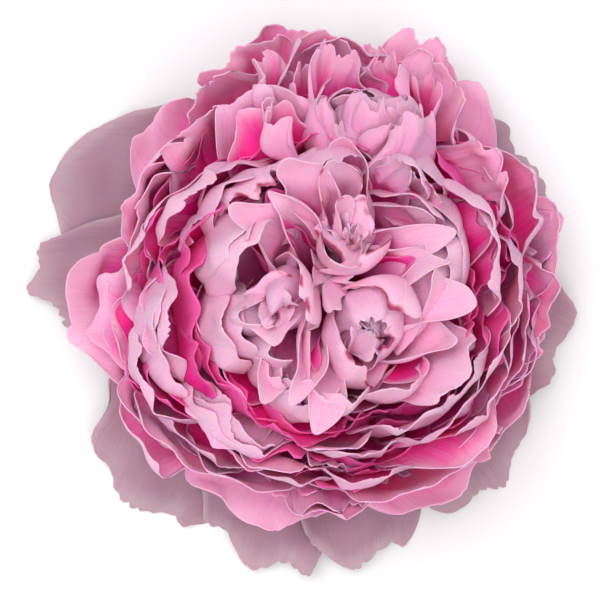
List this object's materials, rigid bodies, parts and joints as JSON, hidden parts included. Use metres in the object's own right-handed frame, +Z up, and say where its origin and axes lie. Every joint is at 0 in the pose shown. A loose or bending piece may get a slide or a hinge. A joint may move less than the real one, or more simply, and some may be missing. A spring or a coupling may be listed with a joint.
{
  "type": "double peony bloom",
  "caption": "Fully double peony bloom cut just below its calyx and laid on its back, face up: a cupped dome of frilled petals on a skirt of broad, flat guard petals.",
  "frame": {"origin": "on the surface that the bloom rests on, under the centre of its box", "axes": "+Z up out of the bloom's face, +Y towards the crest, the second rosette at the back of the dome, and +X to the right seen from above with the crest at the top"},
  "size_m": [0.1572, 0.1614, 0.0843],
  "materials": {
    "guard_petal": "matt, finely veined, pale greyed pink",
    "collar_petal": "matt, finely veined, pale pink with a deeper base",
    "outer_petal": "matt, finely veined, rose pink with a magenta base and pale edges",
    "second_petal": "matt, finely veined, rose pink with a magenta base and pale edges",
    "middle_petal": "matt, finely veined, rose pink with a crimson base and pale edges",
    "inner_petal": "matt, finely veined, rose pink with a crimson base and pale edges",
    "crest_petal": "matt, finely veined, deep pink with pale fringed edges",
    "heart_petal": "matt, finely veined, pale pink marked crimson along the tips",
    "sepal": "matt green, flushed red at the rim",
    "stem": "satin green, pale and moist where cut"
  },
  "bodies": {
    "root": {"guard_petal_1": "guard_petal", "guard_petal_2": "guard_petal", "guard_petal_3": "guard_petal", "guard_petal_4": "guard_petal", "guard_petal_5": "guard_petal", "guard_petal_6": "guard_petal", "guard_petal_7": "guard_petal", "guard_petal_8": "guard_petal", "guard_petal_9": "guard_petal", "collar_petal_1": "collar_petal", "collar_petal_2": "collar_petal", "collar_petal_3": "collar_petal", "collar_petal_4": "collar_petal", "collar_petal_5": "collar_petal", "collar_petal_6": "collar_petal", "collar_petal_7": "collar_petal", "collar_petal_8": "collar_petal", "outer_petal_1": "outer_petal", "outer_petal_2": "outer_petal", "outer_petal_3": "outer_petal", "outer_petal_4": "outer_petal", "outer_petal_5": "outer_petal", "outer_petal_6": "outer_petal", "outer_petal_7": "outer_petal", "second_petal_1": "second_petal", "second_petal_2": "second_petal", "second_petal_3": "second_petal", "second_petal_4": "second_petal", "second_petal_5": "second_petal", "second_petal_6": "second_petal", "second_petal_7": "second_petal", "second_petal_8": "second_petal", "middle_petal_1": "middle_petal", "middle_petal_2": "middle_petal", "middle_petal_3": "middle_petal", "middle_petal_4": "middle_petal", "middle_petal_5": "middle_petal", "middle_petal_6": "middle_petal", "inner_petal_1": "inner_petal", "inner_petal_2": "inner_petal", "inner_petal_3": "inner_petal", "inner_petal_4": "inner_petal", "inner_petal_5": "inner_petal", "bridge_petal_1": "crest_petal", "crest_petal_1": "crest_petal", "crest_petal_2": "crest_petal", "crest_petal_3": "crest_petal", "crest_petal_4": "crest_petal", "left_heart_petal_1": "heart_petal", "left_heart_petal_2": "heart_petal", "front_heart_petal_1": "heart_petal", "front_heart_petal_2": "heart_petal", "back_heart_petal_1": "heart_petal", "back_heart_petal_2": "heart_petal", "sepal_1": "sepal", "sepal_2": "sepal", "sepal_3": "sepal", "sepal_4": "sepal", "sepal_5": "sepal", "stem_stub": "stem"}
  },
  "joints": []
}
